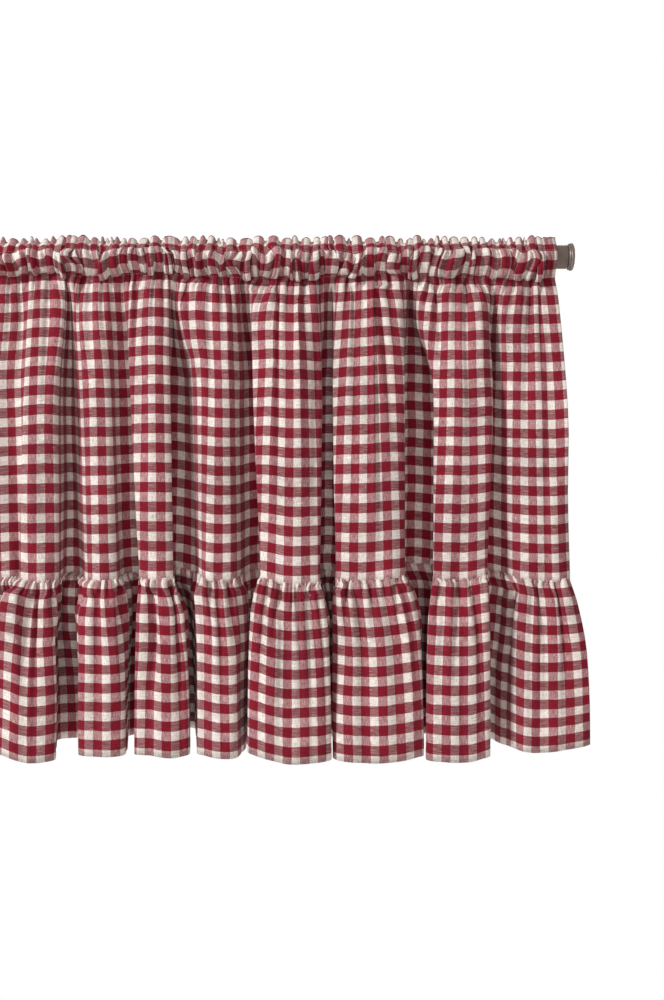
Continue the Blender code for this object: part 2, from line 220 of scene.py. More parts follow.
CAP_SHADES_WITH_PAINTED_HIGHLIGHT = ((0.165, 0.140, 0.124), (0.370, 0.322, 0.298))
CAP_OUTLINE = (  # (distance out from the rod's end, radius), millimetres
    (0.0, 0.0), (0.0, 11.6), (0.15, 12.2), (0.5, 12.9), (0.9, 13.25), (1.3, 13.35), (1.6, 13.3),
    (1.75, 13.1), (1.85, 12.75), (2.0, 12.7), (2.1, 12.95), (2.2, 13.4), (2.45, 13.7), (2.9, 13.85),
    (3.5, 13.9), (4.2, 13.85), (4.7, 13.7), (5.1, 13.4), (5.5, 12.9), (5.8, 12.2), (6.0, 11.2),
    (6.0, 0.0),
)
cap_metal = pewter("pewter_cap", CAP_SHADES_WITH_PAINTED_HIGHLIGHT, 0.34)
for cap_name, side in (("cap_left", -1), ("cap_right", 1)):
    low, high = (np.array(corner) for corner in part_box(cap_name))
    seat = min(abs(low[0]), abs(high[0]))
    outline = [(seat + out * MM, radius * MM) for out, radius in CAP_OUTLINE]
    cap = turned(f"end_{cap_name}", outline, side, 96, cap_metal)
    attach(cap, "root")
    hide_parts(cap_name)


# ---------------------------------------------------------------------------------------------
# The panel. A width of light plain-weave cotton, woven in a red and cream check from dyed yarn,
# doubled over at the top and sewn through twice: a standing header, then a pocket for the rod.

CHECK = 8.7 * MM  # one stripe of the check along the rod: the unit of the tables' "check" columns
ROW = 9.72 * MM  # one stripe of the check down the cloth
CLOTH = 0.45 * MM  # thickness
CREAM = (0.800, 0.755, 0.700)
PINK = (0.375, 0.155, 0.176)  # cream across red
MAUVE = (0.255, 0.070, 0.086)  # red across cream
RED = (0.212, 0.0050, 0.0185)
YARNS = 23  # to a stripe

HEADER_TOP = 20.0 * MM  # height of the header's crest above the rod's axis
CREST_PLACE = 5.30  # of the crest above the stitching, in stripes
POCKET_DROP = 20.0 * MM  # from the rod's axis down to the line of stitching below it
ROD_CLEARANCE = {-1: 13.4 * MM, 1: 13.8 * MM}  # of threads from its axis, in front (-1) and behind
PANEL_DROP = 309 * MM  # from the stitching to the seam, along the cloth
SEAM_LIFT = 10 * MM  # how much higher the seam hangs in the recesses than on the faces
STITCH_ROW = 2.0 * MM  # the stitching runs this far into a red row

STRAND = 1.4 * MM  # spacing of the threads that are worked out
ROUNDING = 3.4 * MM  # how softly a fold turns
BULGE = 0.42  # half the angle through which the face of a fold curves, radians
SHARPNESS = 0.9  # makes puckers broad in front and tight behind
UNEVENNESS = 0.78  # how much wider or narrower than their average the puckers are
LEVELLING = 16 * MM  # puckers keep level along the rod when averaged over about this much cloth
BLENDING = 7 * MM  # how much cloth it takes for puckers to become stronger or weaker
TURN_TOP, TURN_MIDDLE = 0.62, 0.9  # share of its full turn that a fold has reached
LEAST_RECESS = 2 * MM  # of cloth along the bottom of the recess between two folds
RIPPLE = 6.5 * MM  # how far the cloth wavers in and out of its smooth folds
RIPPLE_LENGTH = 7 * MM
RIPPLE_LEVELS = (0, 70, 150, 230, 309)  # millimetres down, at which the ripples are new ones
GIVE = 0.45  # share of a thread's sideways swing that shortens its fall, for cloth gives on the bias
EVENING = 11 * MM  # over which threads side by side share their falls, so rows have no kinks
LEAST_FALL = 0.4  # share of its length by which a thread falls, however far it swings
SEED = 7
STITCH_ENDS = (-3.0, -3.4)  # how much higher the stitching runs at the side hems, millimetres
STITCH_EVENING, STITCH_WAVER, STITCH_WAVER_LENGTH = 14 * MM, 1.3 * MM, 10 * MM
SEAM_ENDS = (2.0, 3.0)  # the same for the seam
SEAM_SMOOTHING = 16 * MM
SPREAD = 40 * MM  # below the stitching, over which the doubled header's half layer is lost

# check: place along the flat cloth of the thread named x, counted in stripes. stitch and seam: how
# much higher the stitching and the seam run there. left, x, right: the fold's left edge, that thread
# and the right edge, at the top, in the middle and low down, in millimetres from the rod's middle.
# front: how far the face stands back (+) or forward (-). turn: how far the cloth turns away at each
# edge, degrees.
PANEL_COLUMNS = (
    "check", "stitch", "seam", "left_top", "x_top", "right_top",
    "left_middle", "x_middle", "right_middle", "left_low", "x_low", "right_low",
    "front", "turn_left", "turn_right",
)
PANEL_FOLDS = (
    (-62, -1.0, 0, -392, -376, -364, -400, -385, -372, -404, -388, -372, -6, 40, 84),
    (-51, 1.5, -2, -352, -340, -326, -354, -342, -322, -360, -342, -320, -14, 112, 112),
    (-40, -0.5, 1, -304, -286, -266, -306, -286, -264, -310, -286, -262, -10, 62, 116),
    (-26, 2.2, -1, -244, -226, -206, -248, -226, -208, -250, -226, -208, -14, 114, 70),
    (-12, -1.2, 0, -186, -170, -147, -188, -177, -146, -192, -176, -152, -4, 60, 78),
    (-5, 3.7, -9, -138, -128, -104, -142, -129, -110, -148, -129, -111, -15, 75, 84),
    (8, -0.3, -3, -88, -75, -60, -81, -70, -57, -76, -66, -50, -12, 58, 86),
    (20, 4.2, -6, -38, -12, 0, -36, -10, 3, -27, -9, 6, -13, 116, 116),
    (34, -0.3, -1, 12, 46, 64, 38, 49, 64, 40, 48, 68, -12, 60, 65),
    (51, -2.7, -4, 86, 128, 153, 88, 128, 156, 95, 127, 154, -16, 114, 116),
    (68, 3.2, -5, 170, 202, 238, 168, 202, 239, 171, 201, 240, -14, 116, 116),
    (89, -0.3, -0.5, 255, 297, 324, 270, 297, 328, 269, 294, 322, -14, 116, 116),
    (103, -2.4, 1.5, 340, 370, 388, 347, 371, 392, 352, 373, 398, -10, 58, 40),
)
PANEL_LEVELS = (0, 22, 122, 304)  # millimetres down: the stitching, top, middle and low down
PANEL_EDGES = (  # the side hems: check, then x at those four levels
    (-65.8, -391, -393, -402, -407),
    (107.5, 392, 395, 402, 406),
)
# How folds and puckers come and go, as (millimetres down, share).
FOLD_GROWTH = ((0, 0.0), (18, 0.25), (45, 0.55), (85, 0.85), (135, 1.0), (304, 1.0))
ROD_BRINKS = 0.9  # share of the way that the faces' ends have gone to their places at the rod
LOOSENESS = 0.97  # share of its length that hanging cloth covers
FACE_REACH = (  # share of the faces' cloth that their width takes up
    (0, 0.60), (12, 0.66), (40, 0.75), (90, 0.84), (150, 0.89), (220, 0.95), (304, 1.0),
)
TURN_GROWTH = 0.5  # the power of FOLD_GROWTH that the turns of the folds follow, so they start soon
PUCKER_FADE = ((0, 1.0), (8, 0.85), (22, 0.5), (45, 0.28), (90, 0.12), (150, 0.04), (304, 0.0))
CRIMP_FADE = ((0, 1.0), (8, 0.6), (20, 0.2), (40, 0.0), (304, 0.0))
PUCKER, CRIMP = 7.8 * MM, 3.8 * MM  # along the rod, on average
CRIMP_SHARE = 0.26  # of the gathering that finer crimps between the puckers take up
TIGHTEST = 2.05  # the greatest angle of a pucker, radians
HEADER_PUCKER = 8.8 * MM
MIXING = 1.5  # makes up for puckers that cancel out where the pocket's meet the header's
POCKET_DEPTH = 9 * MM  # in which the tightest puckers are squashed flat
DRIFT = 0.7  # of a pucker, by which they wander between the stitching and the top of the pocket
FLAT_ENDS = (10 * MM, 18 * MM)  # of cloth by the side hems that is hardly gathered
FLAT_REACH = 0.9
PANEL_ROWS = (
    0, 2.5, 5, 8, 12, 17, 23, 31, 41, 53, 68, 86, 107, 132, 160, 190, 220, 250, 275, 292, 303, 309,
)
# Single creases in the panel: x where it starts and ends, in millimetres from the rod's middle, how
# far down it starts and ends, half its width, and its depth: + for a trough, - for a ridge.
PANEL_CREASES = (
    (111, 114, 0, 238, 4.0, 6.2), (125, 127, 20, 208, 8.0, 3.6), (134, 135, 0, 214, 4.5, -4.3),
    (188, 191, 0, 194, 5.0, 6.2), (207, 209, 15, 276, 2.6, -4.6), (212, 214, 15, 276, 2.6, 4.6),
    (218, 229, 18, 188, 4.0, 5.4), (270, 279, 0, 98, 4.0, 5.1), (301, 305, 0, 179, 5.0, 6.2),
    (316, 319, 0, 170, 4.0, -3.6), (364, 362, 0, 201, 5.0, 6.2), (376, 378, 0, 112, 3.5, 3.4),
    (384, 382, 60, 300, 5.0, 2.6), (-118, -122, 0, 158, 4.0, 5.7), (-77, -79, 0, 172, 4.5, 5.1),
    (-30, -34, 0, 112, 4.0, 4.6), (18, 27, 0, 106, 3.5, 5.1), (43, 44, 0, 157, 4.0, 3.9),
    (-24, -22, 90, 300, 7.0, 2.8), (100, 103, 200, 300, 6.0, 3.4), (150, 147, 60, 263, 4.0, 3.4),
    (-176, -180, 0, 172, 4.0, 5.1), (-214, -210, 0, 143, 4.0, 5.7), (-232, -236, 0, 126, 4.0, 3.9),
    (-281, -284, 0, 187, 5.0, 5.7), (-340, -344, 0, 129, 4.0, 5.1), (-372, -378, 0, 200, 5.0, 4.6),
)
CREASE_START, CREASE_PACE = 0.55, 12  # its share of its depth at first, and millimetres to gain 1
CREASE_END = 0.7  # the power with which it dies away
# The section of the pocket and header, front and back alike: how far it stands out and how high it
# is, in millimetres from the rod's axis, its place on the cloth above the stitching in stripes, and
# how far it has gone over from the lower puckers to the header's own.
POCKET_SECTION = (
    (0.3, -20.0, 0.00, 0.0), (2.0, -19.1, 0.21, 0.0), (5.6, -16.2, 0.70, 0.0), (9.1, -12.5, 1.21, 0.04),
    (12.6, -9.0, 1.70, 0.1), (15.4, -5.1, 2.21, 0.2), (16.7, -0.6, 2.72, 0.4), (15.6, 3.0, 3.12, 0.62),
    (12.9, 4.4, 3.55, 0.82), (11.2, 7.6, 3.90, 0.95), (8.4, 10.9, 4.25, 1.0), (5.4, 13.6, 4.58, 1.0),
    (2.8, 15.9, 4.88, 1.0), (1.1, 18.1, 5.10, 1.0),
)
BACK_ROWS = (0, 2, 3, 5, 7, 8, 10, 12, 13)  # the rows of it that the back needs
PINCH = 3.55  # the place where the header's own stitching gathers it
# What each pucker does on its own: (place, share) of how far it droops over the stitching, swells
# out, stands higher or lower and is drawn in at the pinches between it and the next.
DROOP_TABLE = ((0.0, 0.0), (0.25, 0.7), (0.7, 1.0), (1.3, 0.55), (2.2, 0.1), (3.0, 0.0), (5.3, 0.0))
SWELL_TABLE = ((0.0, 0.0), (0.5, 0.8), (1.5, 1.0), (2.8, 0.9), (3.55, 0.1), (4.2, 0.5), (5.3, 0.3))
SHIFT_TABLE = ((0.0, 0.0), (0.8, 0.6), (2.0, 1.0), (3.0, 0.8), (3.9, 0.3), (5.3, 0.0))
DROOP_DEPTH, SWELL_DEPTH, SHIFT_HEIGHT = 9.5 * MM, 4.0 * MM, 6.2 * MM
SLANT_TABLE = ((0.0, 0.0), (1.2, 1.0), (2.4, 1.0), (3.4, 0.0), (5.3, 0.0))
SLANT_REACH = 4.0 * MM
CREST_DIP, CREST_RISE, CREST_LEAN = 4.2 * MM, 1.9 * MM, 2.4 * MM
DROOP_EVEN, SWELL_EVEN = 0.3, 0.6  # share that is alike in all puckers; the rest is each one's own
SHIFT_WAVER, SHIFT_LENGTH, DRIFT_LENGTH = 0.8, 16 * MM, 20 * MM
HEADER_CRIMPS = 0.6  # share of the crimps that the header loses
HEM_PUCKERS, HEM_BLEND = 0.12, 2.5  # puckers' share by the side hems, and threads that it fades over
PINCH_BLEND = 2.3  # threads over which a pucker's own value gives way to the next one's


def column(table, names, name, unit=1.0):
    """One named column of a table, as an array in metres or in its own unit."""
    return np.array([row[names.index(name)] for row in table], float) * unit


def down(levels, values):
    """A function of the drop that passes through values (their last axis) at levels, in mm.

    Between levels it is a cubic whose slopes are the harmonic means of the slopes on either side,
    so that it never overshoots.
    """
    levels, values = np.asarray(levels, float) * MM, np.asarray(values, float)
    spans = np.diff(levels)
    rises = np.diff(values, axis=-1)
    before, after = rises[..., :-1] / spans[:-1], rises[..., 1:] / spans[1:]
    alike = before * after > 0
    inner = np.where(alike, 2 * before * after / np.where(alike, before + after, 1), 0)
    slopes = np.concatenate([rises[..., :1] / spans[0], inner, rises[..., -1:] / spans[-1]], axis=-1)

    def at(drop):
        place = np.clip(np.searchsorted(levels, drop, side="right") - 1, 0, len(levels) - 2)
        share = np.clip((drop - levels[place]) / spans[place], 0, 1)
        ease = share * share * (3 - 2 * share)
        start = slopes[..., place] * share * (1 - share) ** 2
        end = slopes[..., place + 1] * share * share * (share - 1)
        return values[..., place] * (1 - ease) + values[..., place + 1] * ease + spans[place] * (start + end)

    return at


def share_down(table):
    """The same for a table of (millimetres down, share)."""
    return down(*zip(*table))


def pucker_wave(turns):
    """The angle of a pucker, -1 to 1, over its turns: broad at whole turns, tight at halves."""
    phase = 2 * np.pi * turns
    return np.sin(phase - SHARPNESS * np.sin(phase))


def pucker_reach(strength):
    """The share of its length that puckered cloth covers: the mean cosine of its angle."""
    turns = np.linspace(0, 1, 400, endpoint=False)
    return np.cos(np.multiply.outer(strength, pucker_wave(turns))).mean(axis=-1)


def pucker_strength(reach):
    """The strength of puckers that draws cloth up to the given share of its length."""
    strengths = np.linspace(0, 2.2, 221)
    return np.interp(-np.asarray(reach), -pucker_reach(strengths), strengths)


def softened(values, width):
    """Values averaged along their length with a bell of the given width in samples."""
    reach = int(3 * width) + 1
    bell = np.exp(-0.5 * (np.arange(-reach, reach + 1) / width) ** 2)
    padded = np.pad(values, reach, mode="edge")
    return np.convolve(padded, bell / bell.sum(), mode="valid")


def uneven_turns(along, width, seed):
    """How many puckers lie before each place along the rod: uneven, and width wide on average."""
    chance = np.random.default_rng(seed)
    widths = chance.uniform(1 - UNEVENNESS, 1 + UNEVENNESS, int((along[-1] - along[0]) / width))
    ends = along[0] + (along[-1] - along[0]) * np.cumsum(np.concatenate([[0], widths])) / widths.sum()
    return np.interp(along, ends, np.arange(len(ends)) + 0.5)


def waver(flat, length, seed):
    """A smooth random wave along the cloth, about -1 to 1, that changes over the given length."""
    chance = np.random.default_rng(seed)
    values = softened(chance.standard_normal(len(flat)), length / (flat[1] - flat[0]))
    return values / np.abs(values).max()


def fold_angles(flat, marks, left, thread, right, front, turn_left, turn_right, reach, settled):
    """The direction of the cloth at each flat place, for one level, before it is puckered.

    Between the named threads of two folds the cloth runs along the first face, turns back, crosses
    the recess, comes forward and runs along the next face. The lengths of the two walls are what
    the face widths, the opening and the difference between the two faces leave of the cloth. reach
    is the share of its length that the cloth covers, and settled the share of the faces' cloth.
    Also returns where on the flat cloth the faces end, and the places along the rod that go there.
    """
    places, angles, brinks = [flat[0], marks[0]], [-BULGE, 0.0], []
    arc = BULGE / math.sin(BULGE)
    for i in range(len(marks) - 1):
        budget = reach[i] * (marks[i + 1] - marks[i])
        near, far = (arc * width / settled for width in (right[i] - thread[i], thread[i + 1] - left[i + 1]))
        opening = left[i + 1] - right[i]
        back, forth = turn_right[i], turn_left[i + 1]
        spare = max(budget - near - far - opening, 0.0)
        step = front[i + 1] - front[i]
        walls = np.linalg.solve(
            [[1 - math.cos(back), 1 - math.cos(forth)], [math.sin(back), -math.sin(forth)]], [spare, step]
        )
        walls = np.clip(walls, 0.0, None)
        recess = max(opening - walls[0] * math.cos(back) - walls[1] * math.cos(forth), LEAST_RECESS)
        lengths = np.array([near, walls[0], recess, walls[1], far])
        ends = marks[i] + np.cumsum(lengths) * (marks[i + 1] - marks[i]) / lengths.sum()
        places += [ends[0], ends[0], ends[1], ends[1], ends[2], ends[2], ends[3], ends[3], ends[4]]
        angles += [BULGE, back, back, BULGE, -BULGE, -forth, -forth, -BULGE, 0.0]
        brinks += [(ends[0], right[i]), (ends[3], left[i + 1])]
    places.append(flat[-1])
    angles.append(BULGE)
    order = np.array(places) + 1e-7 * np.arange(len(places))
    return softened(np.interp(flat, order, angles), ROUNDING / (flat[1] - flat[0])), brinks


def knotted(pins, pin_x, brinks):
    """(flat places, places along the rod) of the pins and the brinks, in their order on the cloth."""
    places = np.concatenate([pins, [place for place, _ in brinks]])
    along = np.concatenate([pin_x, [x for _, x in brinks]])
    order = np.argsort(places)
    return places[order], along[order]


def eased_to_knots(flat, x, places, along, share):
    """x moved by a share of the way to where the knots should be."""
    return x + share * np.interp(flat, places, along - np.interp(places, flat, x))


def laid_row(flat, angles, pins, pin_x, pin_y):
    """(x, y) along one level: the angles added up, then eased so that each pin is in its place."""
    step = flat[1] - flat[0]
    between = (angles[1:] + angles[:-1]) / 2
    x = np.concatenate([[0], np.cumsum(np.cos(between))]) * step
    y = np.concatenate([[0], np.cumsum(np.sin(between))]) * step
    x += np.interp(flat, pins, pin_x - np.interp(pins, flat, x))
    y += np.interp(flat, pins, pin_y - np.interp(pins, flat, y))
    return x, y


def hung(x, y, top, drops):
    """Heights of every thread below the given top: threads side by side keep their mean length."""
    swing = GIVE * np.diff(x, axis=0) ** 2 + np.diff(y, axis=0) ** 2
    lengths = np.diff(drops)[:, None]
    fall = np.sqrt(np.clip(lengths**2 - swing, (LEAST_FALL * lengths) ** 2, None))
    fall = np.array([softened(row, EVENING / STRAND) for row in fall])
    return np.vstack([top, top - np.cumsum(fall, axis=0)])


def across(marks, edges, strand):
    """(flat places, pins): threads spaced evenly from hem to hem, and the ones held in their place."""
    pins = np.concatenate([[edges[0]], marks, [edges[1]]])
    return np.linspace(edges[0], edges[1], int((edges[1] - edges[0]) / strand) + 1), pins


def gathered(flat, places, along, width, share, seed):
    """(strength, turns) of puckers that draw the cloth up until its knots are where they should be.

    They are width wide along the rod, and take up that share of the gathering.
    """
    reach = np.diff(along) / np.diff(places)
    piece = np.clip(np.searchsorted(places, flat, side="right") - 1, 0, len(reach) - 1)
    strength = np.minimum(pucker_strength(reach**share), TIGHTEST)[piece]
    turns = uneven_turns(np.interp(flat, places, along), width, seed)
    return softened(strength, BLENDING / (flat[1] - flat[0])), turns


def crowned(turns):
    """1 on the crown of each pucker, 0 in the pinch between two, and broad about the crown."""
    phase = 2 * np.pi * turns
    return (1 + np.cos(phase - SHARPNESS * np.sin(phase))) / 2


def over_places(table):
    """A share as a function of the place on the pocket, from a table of (place, share)."""
    places, shares = zip(*table)
    return lambda place: np.interp(place, places, shares)


def by_pucker(turns, seed):
    """A random value, -1 to 1, for each pucker, which changes sharply in the pinch between two."""
    chance = np.random.default_rng(seed)
    number = np.floor(turns + 1.5).astype(int)
    return softened(chance.uniform(-1, 1, number.max() + 1)[number], PINCH_BLEND)


def crease_angles(flat, drop, places, along, creases):
    """The angles of the single creases at one level, on the threads that lie there.

    Each is a trough whose section is a bell: the angle is the slope of depth times e to the power of
    minus place squared. It starts a little less deep, is full a few millimetres on and dies away.
    """
    angles = np.zeros(len(flat))
    for start_x, end_x, start, end, width, depth in creases:
        share = (drop / MM - start) / (end - start)
        if 0 <= share < 1:
            middle = np.interp((start_x + (end_x - start_x) * share) * MM, along, places)
            place = (flat - middle) / (width * MM)
            window = min(CREASE_START + (drop / MM - start) / CREASE_PACE, 1) * (1 - share) ** CREASE_END
            angles -= 2 * depth / width * window * place * np.exp(-(place**2))
    return angles


marks = column(PANEL_FOLDS, PANEL_COLUMNS, "check", CHECK)
panel_flat, panel_pins = across(marks, np.array([row[0] for row in PANEL_EDGES]) * CHECK, STRAND)


def panel_over(name):
    """A column of the folds at the top, middle and seam, as a function of the drop."""
    three = [column(PANEL_FOLDS, PANEL_COLUMNS, f"{name}_{at}", MM) for at in ("top", "middle", "low")]
    return down(PANEL_LEVELS, np.stack([three[0], *three], axis=-1))


panel_left, panel_thread, panel_right = panel_over("left"), panel_over("x"), panel_over("right")
panel_edge_x = down(PANEL_LEVELS, np.array([row[1:] for row in PANEL_EDGES]) * MM)
panel_front = column(PANEL_FOLDS, PANEL_COLUMNS, "front", MM)
panel_turns = [
    column(PANEL_FOLDS, PANEL_COLUMNS, name, math.pi / 180) for name in ("turn_left", "turn_right")
]
panel_turned = down(PANEL_LEVELS, [TURN_TOP, TURN_TOP, TURN_MIDDLE, 1.0])
rod_x = np.concatenate([[panel_edge_x(0)[0]], panel_thread(0), [panel_edge_x(0)[1]]])
face_reach = share_down(FACE_REACH)


def panel_level(drop):
    """(angles, flat places of the knots, their places along the rod) of the panel at one level."""
    angles, brinks = fold_angles(
        panel_flat, marks, panel_left(drop), panel_thread(drop), panel_right(drop), panel_front,
        panel_turns[0] * panel_turned(drop), panel_turns[1] * panel_turned(drop),
        np.full(len(marks) - 1, LOOSENESS), face_reach(drop),
    )
    low, high = panel_edge_x(drop)
    brinks += [
        (panel_flat[0] + FLAT_ENDS[0], low + FLAT_REACH * FLAT_ENDS[0]),
        (panel_flat[-1] - FLAT_ENDS[1], high - FLAT_REACH * FLAT_ENDS[1]),
    ]
    return angles, *knotted(panel_pins, np.concatenate([[low], panel_thread(drop), [high]]), brinks)


rod_knots = panel_level(0)[1:]
low_strength, low_turns = gathered(panel_flat, *rod_knots, PUCKER, 1 - CRIMP_SHARE, SEED)
crimp_strength, crimp_turns = gathered(panel_flat, *rod_knots, CRIMP, CRIMP_SHARE, SEED + 50)
loose = np.minimum((panel_flat - panel_flat[0]) / FLAT_ENDS[0], (panel_flat[-1] - panel_flat) / FLAT_ENDS[1])
loose = softened(np.where(loose < 1, HEM_PUCKERS, 1.0), HEM_BLEND)
low_pucker = loose * low_strength * pucker_wave(low_turns)
low_crimp = loose * crimp_strength * pucker_wave(crimp_turns)


def panel_rows(rows):
    """(x, y, z) of the panel below the stitching, one row for each drop in rows.

    Each row adds up the cloth's direction: the folds' angles, which grow from nothing at the
    stitching, and the puckers' angles, which die away below it.
    """
    forward, fade, crimp = share_down(FOLD_GROWTH), share_down(PUCKER_FADE), share_down(CRIMP_FADE)
    xs, ys = [], []
    for drop in rows:
        angles, places, along = panel_level(drop)
        angles = angles * forward(drop) ** TURN_GROWTH + fade(drop) * low_pucker + crimp(drop) * low_crimp
        angles += crease_angles(panel_flat, drop, places, along, PANEL_CREASES)
        pin_y = np.concatenate([panel_front[:1], panel_front, panel_front[-1:]]) * forward(drop)
        x, y = laid_row(panel_flat, angles, panel_pins, np.interp(panel_pins, places, along), pin_y)
        xs.append(eased_to_knots(panel_flat, x, places, along, ROD_BRINKS + (1 - ROD_BRINKS) * forward(drop)))
        ys.append(y)
    x, y = np.array(xs), np.array(ys)
    y -= np.multiply.outer(1 - forward(rows), softened(y[0], LEVELLING / (panel_flat[1] - panel_flat[0])))
    return x, y + RIPPLE * forward(rows)[:, None] * panel_ripples(rows)


def ripples(flat, length, levels, seed):
    """A smooth random wave across the cloth that also changes down it, as a function of the drop."""
    waves = np.stack([waver(flat, length, seed + i) for i in range(len(levels))], axis=-1)
    at = down(levels, waves)
    return lambda rows: np.array([at(drop) for drop in rows])


panel_ripples = ripples(panel_flat, RIPPLE_LENGTH, RIPPLE_LEVELS, SEED + 20)


def level_row(pucker):
    """(x, y) of a row along the rod for the given angles, its y level when averaged and squashed."""
    x, y = laid_row(panel_flat, pucker, panel_pins, rod_x, np.zeros(len(rod_x)))
    y = y - softened(y, LEVELLING / (panel_flat[1] - panel_flat[0]))
    return eased_to_knots(panel_flat, x, *rod_knots, ROD_BRINKS), POCKET_DEPTH * np.tanh(y / POCKET_DEPTH)


panel_drops = np.array(PANEL_ROWS) * MM
panel_x, panel_y = panel_rows(panel_drops)
stitch_at = column(PANEL_FOLDS, PANEL_COLUMNS, "stitch", MM)
stitch_ends = np.array(STITCH_ENDS) * MM
stitch_rise = np.interp(
    panel_flat, panel_pins, np.concatenate([stitch_ends[:1], stitch_at, stitch_ends[1:]])
)
stitch_rise = softened(stitch_rise, STITCH_EVENING / STRAND)
stitch_rise += STITCH_WAVER * waver(panel_flat, STITCH_WAVER_LENGTH, SEED + 2)
panel_z = hung(panel_x, panel_y, -POCKET_DROP + stitch_rise, panel_drops)
seam_at, seam_ends = column(PANEL_FOLDS, PANEL_COLUMNS, "seam", MM), np.array(SEAM_ENDS) * MM
recess_at = (seam_at[1:] + seam_at[:-1]) / 2 + SEAM_LIFT
seam_rise = np.concatenate([seam_ends[:1], seam_at, seam_ends[1:], recess_at])
seam_places = np.concatenate([panel_pins, (panel_pins[1:] + panel_pins[:-1])[1:-1] / 2])
seam_order = np.argsort(seam_places)
seam_rise = np.interp(panel_flat, seam_places[seam_order], seam_rise[seam_order])
seam_rise = softened(seam_rise, SEAM_SMOOTHING / STRAND)
panel_z += np.multiply.outer((panel_drops / PANEL_DROP) ** 2, seam_rise)
panel_v = np.repeat(-panel_drops[:, None] / ROW, len(panel_flat), axis=1)

top_strength, top_turns = gathered(panel_flat, *rod_knots, HEADER_PUCKER, 1 - CRIMP_SHARE, SEED + 3)
top_pucker = loose * top_strength * pucker_wave(top_turns)
drift = DRIFT * waver(panel_flat, DRIFT_LENGTH, SEED + 12)
droop = loose * DROOP_DEPTH * (DROOP_EVEN + (1 - DROOP_EVEN) * by_pucker(low_turns, SEED + 4))
swell = SWELL_DEPTH * (SWELL_EVEN + (1 - SWELL_EVEN) * by_pucker(low_turns, SEED + 5))
shift = by_pucker(low_turns, SEED + 6) + SHIFT_WAVER * waver(panel_flat, SHIFT_LENGTH, SEED + 9)
shift *= loose * SHIFT_HEIGHT
slant = loose * SLANT_REACH * by_pucker(low_turns, SEED + 10)
crest_rise = CREST_RISE * by_pucker(top_turns, SEED + 7) - CREST_DIP * (1 - np.cos(2 * np.pi * top_turns)) / 2
crest_rise *= loose
lean = loose * CREST_LEAN * by_pucker(top_turns, SEED + 8)
droop_share, swell_share, shift_share, slant_share = (
    over_places(table) for table in (DROOP_TABLE, SWELL_TABLE, SHIFT_TABLE, SLANT_TABLE)
)
section = []
for outwards, up, place, upper in POCKET_SECTION:
    turns = low_turns + drift * min(place / PINCH, 1)
    pucker = (1 - upper) * loose * low_strength * pucker_wave(turns) + upper * top_pucker
    crimp = (1 - HEADER_CRIMPS * upper) * low_crimp
    x, y = level_row((1 + MIXING * upper * (1 - upper)) * pucker + crimp)
    crown = (1 - upper) * crowned(turns) + upper * crowned(top_turns)
    above = min(max((place - PINCH) / (CREST_PLACE - PINCH), 0), 1)
    z = up * MM + stitch_rise * max(1 - place / PINCH, 0)
    z += shift_share(place) * shift - droop_share(place) * droop * crown + above * crest_rise
    x += above * lean + slant_share(place) * slant
    section.append((x, outwards * MM + swell_share(place) * swell * (2 * crown - 1), y, z, place))


def clear_of_rod(outwards, z, clearance):
    """How far out cloth at height z lies, moved out where the rod is in its way."""
    return np.maximum(outwards, np.sqrt(np.clip(clearance**2 - z**2, 0, None)))


def pocket_layer(facing, rows):
    """Rows (x, y, z, v) from the stitching to the header's shoulder: facing is -1 in front, 1 behind."""
    layer = []
    for x, outwards, swing, z, place in (section[row] for row in rows):
        out = outwards + facing * swing
        if place > 0:
            out = clear_of_rod(out, z, ROD_CLEARANCE[facing])
        layer.append((x, facing * out, z, np.full(len(x), place)))
    return layer


crest = (section[-1][0], section[-1][2], HEADER_TOP + crest_rise, np.full(len(panel_flat), CREST_PLACE))
front, back = pocket_layer(-1, range(len(section))), pocket_layer(1, BACK_ROWS)
below = list(zip(panel_x, panel_y, panel_z, panel_v))
strips = back + [crest] + front[::-1] + below[1:]
panel_points = np.stack([np.stack(row[:3], axis=-1) for row in strips])
forward = POCKET_SECTION[0][0] * MM * np.clip(1 - panel_drops[1:, None] / SPREAD, 0, 1)
panel_points[-len(below) + 1:, :, 1] -= forward
panel_uv = np.stack([np.stack([panel_flat / CHECK, row[3]], axis=-1) for row in strips])


def sheet_piece(name, points, uv, material):
    """A grid of points (rows, threads, 3) as a sheet of cloth, thickened both ways from the grid."""
    rows, threads = points.shape[:2]
    index = np.arange(rows * threads).reshape(rows, threads)
    corners = [index[:-1, :-1], index[1:, :-1], index[1:, 1:], index[:-1, 1:]]
    faces = np.stack([corner.ravel() for corner in corners], axis=-1)
    piece = mesh_piece(name, points.reshape(-1, 3), faces, material, uv.reshape(-1, 2))
    thick = piece.modifiers.new("thickness", "SOLIDIFY")
    thick.thickness = CLOTH
    thick.offset = 0
    return piece


